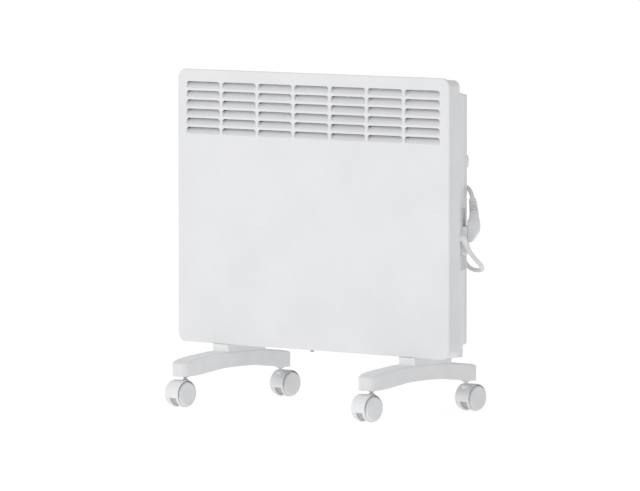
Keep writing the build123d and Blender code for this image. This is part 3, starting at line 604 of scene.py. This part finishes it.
def plug():
    rows = [(281.95, 8.4, 10.2, 13.6, 2.0, 1.0), (282.0, 9.4, 9.5, 14.6, 2.6, 1.0), (282.5, 10.8, 9.0, 15.9, 3.0, 0.8), (284.0, 12.4, 8.9, 17.3, 3.0, 0.5),
            (288.0, 13.7, 8.9, 20.0, 3.0, 0.4), (294.0, 14.0, 8.9, 23.9, 3.0, 0.4), (298.6, 14.0, 8.9, 26.3, 3.0, 0.4), (301.0, 14.0, 8.9, 26.95, 3.0, 0.4), (303.5, 14.0, 8.9, 27.1, 3.0, 0.4),
            (307.0, 14.0, 8.9, 27.1, 3.0, 0.6), (311.0, 13.9, 8.9, 26.9, 3.0, 1.0), (316.0, 13.3, 8.9, 26.3, 3.4, 1.5), (318.0, 12.8, 8.9, 26.0, 3.8, 1.5), (318.5, 12.6, 9.5, 25.9, 4.0, 1.6),
            (318.9, 12.5, 10.9, 25.9, 4.2, 2.0), (322.0, 11.2, 11.1, 25.7, 5.0, 3.0), (325.0, 10.0, 11.3, 25.4, 6.0, 4.5)]
    rings = [sect(on_right(PLUG_S, (d0 + d1) / 2, z), UDIR, NDIR, w, (d1 - d0) / 2, ro, ri) for z, w, d0, d1, ro, ri in rows]
    a1 = (UDIR - ND * UDIR.dot(ND)).normalized()
    b1 = ND.cross(a1)
    if b1.dot(NDIR) < 0:
        b1 = -b1

    def rad(t):
        return 7.3 - 1.6 * t / 28.5
    mid = (ND + ZDIR * 1.3).normalized()
    a2 = (UDIR - mid * UDIR.dot(mid)).normalized()
    b2 = mid.cross(a2)
    if b2.dot(NDIR) < 0:
        b2 = -b2
    rings.append(sect(NB + ND * 0.6, a2, b2, 8.6, 7.2, 6.4, 6.0))
    rings.append(sect(NB + ND * 2.0, a1, b1, rad(2.0) + 0.3, rad(2.0) + 0.1, 7, 7))
    for t in (3.0, 7.0, 11.0, 18.0):
        r = rad(t)
        rings += [sect(NB + ND * q, a1, b1, r + o, r + o, 9, 9) for q, o in ((t, 0.0), (t + 0.25, -0.1), (t + 0.4, -1.4), (t + 1.9, -1.4), (t + 2.05, -0.1), (t + 2.3, 0.0), (t + 3.0, 0.0))]
    for q, o in ((24.0, 0.0), (27.6, 0.0), (28.2, -0.2), (28.5, -0.7), (28.55, -2.0)):
        rings.append(sect(NB + ND * q, a1, b1, rad(q) + o, rad(q) + o, 9, 9))
    v, f = loft(rings)
    return make("plug_moulding", v, f, M["plug"], nodes=["plug_body"], sharp=50)


plug_ob = plug()


def strap():
    cx, cz = 188.3, 408.6
    loop = [(27.0, 66.75), (26.4, 67.6), (26.4, 74.4), (26.9, 76.0), (28.6, 80.2), (29.8, 81.3), (31.5, 81.6), (43.0, 81.6), (44.8, 81.2), (45.8, 79.8), (48.9, 75.4), (49.7, 73.4), (49.7, 67.6), (49.2, 66.75), (47.0, 66.6), (29.0, 66.6)]

    def ring(off, z):
        out = []
        for i in range(len(loop)):
            p, q, r = (Vector(loop[(i + k) % len(loop)]) for k in (-1, 0, 1))
            n = ((q - p).normalized() + (r - q).normalized()).normalized()
            out.append((cx + q.x - n.y * off, q.y + n.x * off, cz + z))
        return out
    prof = [(0.0, -9.6), (0.7, -9.6), (1.1, -9.0), (1.4, -7.8), (1.6, -6.0), (1.75, -3.0), (1.8, 0.0), (1.75, 3.0), (1.6, 6.0), (1.4, 7.8), (1.1, 9.0), (0.7, 9.6), (0.0, 9.6)]
    v, f = flat([ring(o, z) for o, z in prof]), skin([ring(o, z) for o, z in prof], closed=True)
    # the free end laid over and pressed on behind
    tail = [sect(Vector((cx + x, 82.9 + y, cz)), Vector((1, 0, 0)), ZDIR, 6.2 - y * 0.3, 8.8 - y, 0.8, 0.8, seg=3) for x, y in ((36.2, 0.0), (36.2, 0.9), (36.2, 1.1))]
    add(v, f, *loft(tail))
    return make("cord_strap", v, f, M["strap"], nodes=["cord_tie"], sharp=50)


strap_ob = strap()
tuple(ROUTE_A[0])


# the gland: a flange on the flank and a boot that bends down along the lead
def gland():
    ga = on_right(9.0, 0.0, 291.0)
    gd = Vector((5.465, 18.928, -25.2)).normalized()
    p0, p1, p2 = ga + NDIR * 2.6, ga + NDIR * 6.0 + gd * 1.5, ga + gd * 13.0
    rings = []

    def put(c, w, r):
        a = (ZDIR - w * ZDIR.dot(w)).normalized()
        b = w.cross(a)
        rings.append([tuple(c + a * (r * math.cos(2 * math.pi * k / 32)) + b * (r * math.sin(2 * math.pi * k / 32))) for k in range(32)])
    for d, r in ((-1.0, 5.4), (0.05, 5.4), (0.05, 6.7), (1.2, 6.8), (1.8, 6.6), (2.1, 6.0)):
        put(ga + NDIR * d, NDIR, r)
    for k in range(0, 9):
        s = k / 8
        c = p0 * (1 - s) ** 2 + p1 * 2 * s * (1 - s) + p2 * s * s
        w = ((p1 - p0) * (1 - s) + (p2 - p1) * s).normalized()
        put(c, w, 5.6 - 0.8 * s)
    for t in (14.0, 17.2, 20.4, 23.6):
        r = 4.8 - 0.7 * (t - 13.0) / 15.0
        for q, o in ((t, 0.0), (t + 0.3, -0.05), (t + 0.45, -0.35), (t + 1.2, -0.35), (t + 1.35, -0.05), (t + 1.7, 0.0)):
            put(ga + gd * q, gd, r + o)
    for q, r in ((27.0, 4.15), (27.7, 4.05), (28.0, 3.85), (28.0, 3.3)):
        put(ga + gd * q, gd, r)
    v, f = loft(rings)
    # painted light: the boot takes the lighter boot material
    return make("gland_boot", v, f, M["boot"], nodes=["cord_gland"], sharp=50)


gland()


# the two grey pads on the flank: a raised border round a sunk field. Their grey is partly painted shade, standing for
# shaded pockets on the flank
def pads():
    v, f = [], []
    for z0, z1, top, sunk in ((308.6, 334.4, 2.3, 0.35), (236.8, 260.8, 1.8, 0.25)):
        c0, hz = (z0 + z1) / 2, (z1 - z0) / 2
        rings = []
        for inset, d in ((0.0, 0.95), (0.0, top - 0.5), (0.15, top - 0.15), (0.5, top), (3.4, top), (3.7, top - 0.12), (4.0, top - sunk + 0.1), (4.3, top - sunk)):
            c = on_right(34.0, d, c0)
            rings.append(sect(c, UDIR, ZDIR, 31.0 - inset, hz - inset, max(2.2 - inset * 0.4, 0.8), max(2.2 - inset * 0.4, 0.8), seg=4))
        nv, nf = loft(rings)
        add(v, f, nv, nf)
        # a ridge along the field
        ridge = [(23.0, top - sunk - 0.1), (26.0, top - sunk + 0.2), (38.0, top - 0.1), (40.0, top - 0.1), (46.0, top - sunk + 0.2), (49.0, top - sunk - 0.1)]
        rr = [[tuple(on_right(s, d - k * 0.12 * (d - top + sunk), c0 + z)) for s, d in ridge] for z, k in ((5.6 - hz, 1), (6.2 - hz, 0), (hz - 6.2, 0), (hz - 5.6, 1))]
        nv, nf = loft(rr)
        add(v, f, nv, nf)
    ob = make("side_pads", v, f, M["pad"], nodes=["cord_holder_pads"], sharp=45)
    ob.data.materials.append(M["pad_up"])
    for q in ob.data.polygons:                   # painted shade: the upper pad gets a darker grey than the lower one, standing for the shade under the plug above it
        if q.center.z / MM > 290:
            q.material_index = 1
    return ob


pads()


# ------------------------------------------------------------------ castors
def swept(profile, at, sx):
    """A ring of sections about the axle, one for each (angle, [(x, radius)])."""
    rings = []
    for ang, pts in profile:
        c, s = math.cos(math.radians(ang)), math.sin(math.radians(ang))
        rings.append([(sx + x, at[0] + r * c, at[1] + r * s) for x, r in pts])
    return flat(rings), skin(rings, closed=True)


def castor(tag, sx, sy, way):
    ay, az = sy + way * 12.0, 21.0
    half = [(5.6, 3.05), (5.6, 21.4), (5.9, 21.85), (6.4, 22.0), (13.5, 22.0), (13.95, 22.08), (14.2, 22.28), (14.3, 22.5), (14.15, 22.75), (13.7, 22.95), (12.4, 23.06), (9.0, 23.1), (4.5, 23.1)]
    low = [(5.6, 3.05), (6.3, 17.2), (6.3, 17.7), (6.1, 18.0)] + [(5.6, 18.1)] * 5 + [(5.2, 18.1)] * 3 + [(4.0, 18.1)]
    tee = [(-x, r) for x, r in half] + [(0.0, 23.1)] + list(reversed(half))
    bar = [(-x, r) for x, r in low] + [(0.0, 18.1)] + list(reversed(low))
    # soft lower edges of the shell
    nip = [(x, r) if i < 3 or i > 2 * len(half) - 3 else (x, r - 0.28 if r > 22.6 else r + 0.12) for i, (x, r) in enumerate(tee)]
    cut = 13.6
    prof = [(-cut - 0.45, bar), (-cut, nip), (-cut + 0.7, tee)]
    n = 44
    prof += [(-cut + 0.7 + (180 + 2 * cut - 1.4) * k / n, tee) for k in range(1, n)]
    prof += [(180 + cut - 0.7, tee), (180 + cut, nip), (180 + cut + 0.45, bar)]
    m = 22
    prof += [(180 + cut + 0.45 + (180 - 2 * cut - 0.9) * k / m, bar) for k in range(1, m)]
    v, f = swept(prof, (ay, az), sx)
    bv, bf = lathe([(0.0, 37.0), (7.3, 37.0), (7.5, 40.4), (7.1, 41.8), (6.0, 43.0), (4.6, 44.1), (3.4, 45.2), (2.8, 45.9), (2.5, 46.1), (0.0, 46.1)], (sx, sy, 0.0), "Z", 36)
    add(v, f, bv, bf)
    cover = make("castor_%s_cover" % tag, v, f, M["hood"], body="swivel_" + tag, nodes=["castor_%s_hood" % tag], sharp=45)
    cover.data.materials.append(M["web"])
    for q in cover.data.polygons:                # painted shade: the web between the wheels gets a dark grey that stands for the shade in the recess under the hood
        c = q.center / MM
        if math.hypot(c.y - ay, c.z - az) < 18.2 and c.z < az - 1.0:
            q.material_index = 1
    sv, sf = lathe([(0.0, 71.0), (3.6, 71.0), (4.0, 70.4), (4.0, 49.75), (7.0, 49.6), (7.3, 49.3), (7.1, 48.8), (5.9, 48.2), (4.2, 47.5), (3.0, 46.9), (2.6, 46.4), (2.6, 45.6), (2.6, 44.0), (4.0, 43.0), (4.0, 29.4), (3.6, 29.0), (0.0, 29.0)], (sx, sy, 0.0), "Z", 36)
    make("castor_%s_pin" % tag, sv, sf, M["stem"], nodes=["castor_%s_stem" % tag], sharp=40)
    for side, k in (("a", -1), ("b", 1)):
        prof = [(0.0, 18.0), (9.0, 17.98), (16.9, 17.9), (17.6, 17.82), (18.1, 17.6), (18.6, 17.15), (19.2, 16.3), (19.5, 15.4), (19.6, 14.5), (19.55, 14.1), (19.3, 13.8), (18.8, 13.7), (18.4, 13.5), (18.4, 12.6), (18.8, 12.35), (20.1, 12.25), (20.7, 11.95), (20.95, 11.4), (21.0, 10.6), (21.0, 10.2), (21.0, 8.6), (20.8, 7.6),
                (20.3, 6.85), (19.6, 6.5), (18.2, 6.4), (17.7, 6.6), (17.6, 7.2), (17.6, 15.2), (17.2, 15.6), (7.4, 15.6), (7.0, 15.2), (7.0, 6.9), (6.6, 6.4), (3.5, 6.4), (3.1, 6.8), (3.1, 16.0), (0.0, 16.0)]
        wv, wf = lathe([(r, k * x) for r, x in prof], (sx, ay, az), "X", 72)
        make("castor_%s_roller_%s" % (tag, side), wv, wf, M["wheel"], body="wheel_%s_%s" % (tag, side), nodes=["castor_%s_wheel_%s" % (tag, side)], sharp=35)


for tag, sx, sy, way in (("fl", -200.0, -117.5, -1), ("fr", 200.0, -117.5, -1), ("rl", -200.0, 117.5, 1), ("rr", 200.0, 117.5, 1)):
    castor(tag, sx, sy, way)


# ------------------------------------------------------------------ feet
TOP = [(-137.5, 70.4), (-133.0, 72.0), (-127.5, 73.8), (-123.0, 75.4), (-117.0, 77.0), (-105.0, 78.8), (-93.0, 80.2), (-70.5, 82.2), (-54.5, 83.8), (-40.0, 84.6)]
LOW = [(0.0, 59.0), (35.0, 58.2), (55.0, 56.8), (72.0, 54.6), (88.0, 52.6), (100.0, 51.2), (118.0, 50.2), (137.5, 49.6)]
TOP = TOP + [(-y, z) for y, z in reversed(TOP)]
LOW = [(-y, z) for y, z in reversed(LOW[1:])] + LOW


def along(pts, y):
    """Smooth height at y through a list of (y, z)."""
    for i in range(len(pts) - 1):
        if y <= pts[i + 1][0] or i == len(pts) - 2:
            (y0, z0), (y1, z1) = pts[i], pts[i + 1]
            m0 = (z1 - pts[i - 1][1]) / (y1 - pts[i - 1][0]) if i > 0 else (z1 - z0) / (y1 - y0)
            m1 = (pts[i + 2][1] - z0) / (pts[i + 2][0] - y0) if i < len(pts) - 2 else (z1 - z0) / (y1 - y0)
            h = y1 - y0
            t = (y - y0) / h
            return ((2 * t ** 3 - 3 * t ** 2 + 1) * z0 + (t ** 3 - 2 * t ** 2 + t) * h * m0 + (-2 * t ** 3 + 3 * t ** 2) * z1 + (t ** 3 - t ** 2) * h * m1)


def foot(name, node, xc):
    y0, y1, R, hw = -136.0, 129.0, 11.0, 18.0
    ys = [y0 + R * (1 - math.cos(math.radians(a))) for a in (0, 9, 18, 28, 38, 48, 58, 68, 79, 90)]
    ys += [y0 + R + (y1 - y0 - 2 * R) * k / 54 for k in range(1, 54)]
    ys += [y1 - R * (1 - math.cos(math.radians(a))) for a in (90, 79, 68, 58, 48, 38, 28, 18, 9, 0)]
    inner0, inner1 = y0 + 3.2, y1 - 3.2
    ys = sorted(ys + [inner0, inner0 + 0.01, inner1 - 0.01, inner1])
    rings = []
    for y in ys:
        e = min(y - y0, y1 - y)
        w = hw if e >= R else hw - R + math.sqrt(max(0.0, R * R - (R - e) ** 2))
        soft = 1.2 * (1 - smooth(e / 1.6))          # the ends roll over at the top
        zt, zb = along(TOP, y) - soft, along(LOW, y) + 0.5 * (1 - smooth(e / 0.8))
        rt, rb = 3.2, 1.3
        pts = []
        for k in range(7):
            a = math.radians(90.0 * k / 6)
            pts.append((w - rb + rb * math.sin(a), zb + rb - rb * math.cos(a)))
        for k in range(9):
            a = math.radians(90.0 * k / 8)
            pts.append((w - rt + rt * math.cos(a), zt - rt + rt * math.sin(a)))
        out = pts + [(-x, z) for x, z in reversed(pts)]
        hollow = inner0 < y < inner1
        wi = max(w - 3.0, 0.5)
        roof = zt - 7.5 if hollow else zb
        under = [(-wi, zb), (-wi, zb + 0.01 if not hollow else roof - 1.0), (-wi + 1.0, roof), (wi - 1.0, roof), (wi, zb + 0.01 if not hollow else roof - 1.0), (wi, zb)]
        rings.append([(xc + x, y, z) for x, z in out + under])
    v, f = loft(rings)
    # ribs across the hollow and round the stem and screw sockets
    for y in (-90.0, -62.0, 62.0, 90.0):
        zt, zb = along(TOP, y) - 6.0, along(LOW, y) + 1.2
        add(v, f, *loft([[(xc + x, y + dy, z) for x, dy in ((-15.6, -1.1), (15.6, -1.1), (15.6, 1.1), (-15.6, 1.1))] for z in (zb, zt)]))
    for y in (-117.5, 117.5):
        zb = along(LOW, y) + 0.2
        add(v, f, *lathe([(0.0, 50.2), (0.0, zb), (8.6, zb), (9.0, zb + 0.4), (9.0, along(TOP, y) - 6.0), (0.0, along(TOP, y) - 6.0)][1:], (xc, y, 0.0), "Z", 32))
    for y in (4.0, 40.0):
        zt = along(TOP, y) - 6.0
        add(v, f, *lathe([(2.4, 62.8), (5.3, 62.8), (5.3, 59.6), (7.2, 59.6), (7.5, 60.0), (7.5, zt), (2.4, zt), (2.4, 62.8)], (xc, y, 0.0), "Z", 32))
    # pedestal under the casing
    ped = []
    for z, i in ((78.0, 0.0), (94.4, 0.0), (94.85, 0.15), (95.0, 0.6)):
        ped.append(sect(Vector((xc, 15.25, z)), Vector((1, 0, 0)), Vector((0, 1, 0)), 17.0 - i, 48.25 - i, 4.0 - i, 4.0 - i))
    add(v, f, *loft(ped))
    front = []
    for z, i in ((78.0, 0.0), (96.2, 0.0), (96.5, 0.12), (96.6, 0.45)):
        front.append(sect(Vector((xc, -17.6, z)), Vector((1, 0, 0)), Vector((0, 1, 0)), 16.9 - i, 15.2 - i, 1.4, 2.6))
    add(v, f, *loft(front))
    ob = make(name, v, f, M["foot"], nodes=[node], sharp=40)
    ob.data.materials.append(M["pedestal_lit"])
    for q in ob.data.polygons:                   # painted light: the front-facing faces of the pedestal's front piece get a whiter material, standing for the light that falls on them
        c = q.center / MM
        if c.z > 84.6 and -33.2 < c.y < -18.0 and q.normal.y < -0.3:
            q.material_index = 1
    return ob


foot("foot_moulding_left", "foot_left", -200.0)
foot("foot_moulding_right", "foot_right", 200.0)


# ------------------------------------------------------------------ floor, light, camera
floor_m, ft, fb = material("floor_pale")
fb.inputs["Base Color"].default_value = (0.90, 0.90, 0.90, 1)
fb.inputs["Roughness"].default_value = 0.9
fb.inputs["Specular IOR Level"].default_value = 0.05
fb.inputs["Emission Color"].default_value = (1, 1, 1, 1)
fb.inputs["Emission Strength"].default_value = 0.38
seen_d = ft.nodes.new("ShaderNodeBsdfDiffuse")
seen_d.inputs["Color"].default_value = (0.45, 0.45, 0.45, 1)
seen_e = ft.nodes.new("ShaderNodeEmission")
seen_e.inputs["Strength"].default_value = 0.72
seen = ft.nodes.new("ShaderNodeAddShader")
ft.links.new(seen_d.outputs["BSDF"], seen.inputs[0])
ft.links.new(seen_e.outputs["Emission"], seen.inputs[1])
fl_lp = ft.nodes.new("ShaderNodeLightPath")
fl_mix = ft.nodes.new("ShaderNodeMixShader")
ft.links.new(fl_lp.outputs["Is Camera Ray"], fl_mix.inputs["Fac"])
ft.links.new(fb.outputs["BSDF"], fl_mix.inputs[1])
ft.links.new(seen.outputs["Shader"], fl_mix.inputs[2])
ft.links.new(fl_mix.outputs["Shader"], ft.nodes["Material Output"].inputs["Surface"])
me = bpy.data.meshes.new("floor")
S = 30.0
me.from_pydata([(-S, -S, 0), (S, -S, 0), (S, S, 0), (-S, S, 0)], [], [(0, 1, 2, 3)])
me.materials.append(floor_m)
floor = bpy.data.objects.new("floor", me)
scene.collection.objects.link(floor)

WORLD = (0.11, 0.91)                # light from behind right, and from the front left
w = bpy.data.worlds.new("studio")
scene.world = w
w.use_nodes = True
wt = w.node_tree
wt.nodes.clear()
wo = wt.nodes.new("ShaderNodeOutputWorld")
bg = wt.nodes.new("ShaderNodeBackground")
bg.inputs["Color"].default_value = (1.0, 1.0, 1.0, 1)
wc = wt.nodes.new("ShaderNodeTexCoord")
wd = wt.nodes.new("ShaderNodeVectorMath")
wd.operation = "DOT_PRODUCT"
wd.inputs[1].default_value = (-0.44, -0.62, 0.65)
wt.links.new(wc.outputs["Generated"], wd.inputs[0])
wr = wt.nodes.new("ShaderNodeMapRange")
wr.inputs["From Min"].default_value = -1.0
wr.inputs["From Max"].default_value = 1.0
wr.inputs["To Min"].default_value = WORLD[0]
wr.inputs["To Max"].default_value = WORLD[1]
wt.links.new(wd.outputs["Value"], wr.inputs["Value"])
wt.links.new(wr.outputs["Result"], bg.inputs["Strength"])
white = wt.nodes.new("ShaderNodeBackground")
white.inputs["Color"].default_value = (1.0, 1.0, 1.0, 1)
white.inputs["Strength"].default_value = 1.0
lp = wt.nodes.new("ShaderNodeLightPath")
mix = wt.nodes.new("ShaderNodeMixShader")
wt.links.new(lp.outputs["Is Camera Ray"], mix.inputs["Fac"])
wt.links.new(bg.outputs["Background"], mix.inputs[1])
wt.links.new(white.outputs["Background"], mix.inputs[2])
wt.links.new(mix.outputs["Shader"], wo.inputs["Surface"])


def area(name, at, to, size, power, colour=(1, 1, 1)):
    li = bpy.data.lights.new(name, "AREA")
    li.shape = "DISK"
    li.size = size
    li.energy = power
    li.color = colour
    ob = bpy.data.objects.new(name, li)
    ob.location = at
    ob.rotation_euler = (Vector(to) - Vector(at)).to_track_quat("-Z", "Y").to_euler()
    scene.collection.objects.link(ob)
    return ob


area("key", (-2.2, -4.2, 2.4), (0, 0, 0.3), 3.4, 25.0)
area("rim", (3.4, 2.2, 1.4), (0.2, 0, 0.3), 2.4, 9.0)

scene.view_settings.view_transform = "Standard"
scene.view_settings.look = "None"
scene.view_settings.exposure = 0.0
scene.view_settings.gamma = 1.0
scene.cycles.use_denoising = True

az, el, dist = math.radians(40.942), math.radians(3.928), 11.192
target = Vector((0.01889, -0.0345, 0.26861))
cam_d = bpy.data.cameras.new("camera")
cam_d.sensor_fit = "HORIZONTAL"
cam_d.sensor_width = 36.0
cam_d.lens = 36.0 * 6913.65 / 640.0
cam_d.clip_start, cam_d.clip_end = 0.5, 100.0
cam = bpy.data.objects.new("camera", cam_d)
back = Vector((math.sin(az) * math.cos(el), -math.cos(az) * math.cos(el), math.sin(el)))
cam.location = target + back * dist
cam.rotation_mode = "QUATERNION"
cam.rotation_quaternion = (-back).to_track_quat("-Z", "Y")
scene.collection.objects.link(cam)
scene.camera = cam
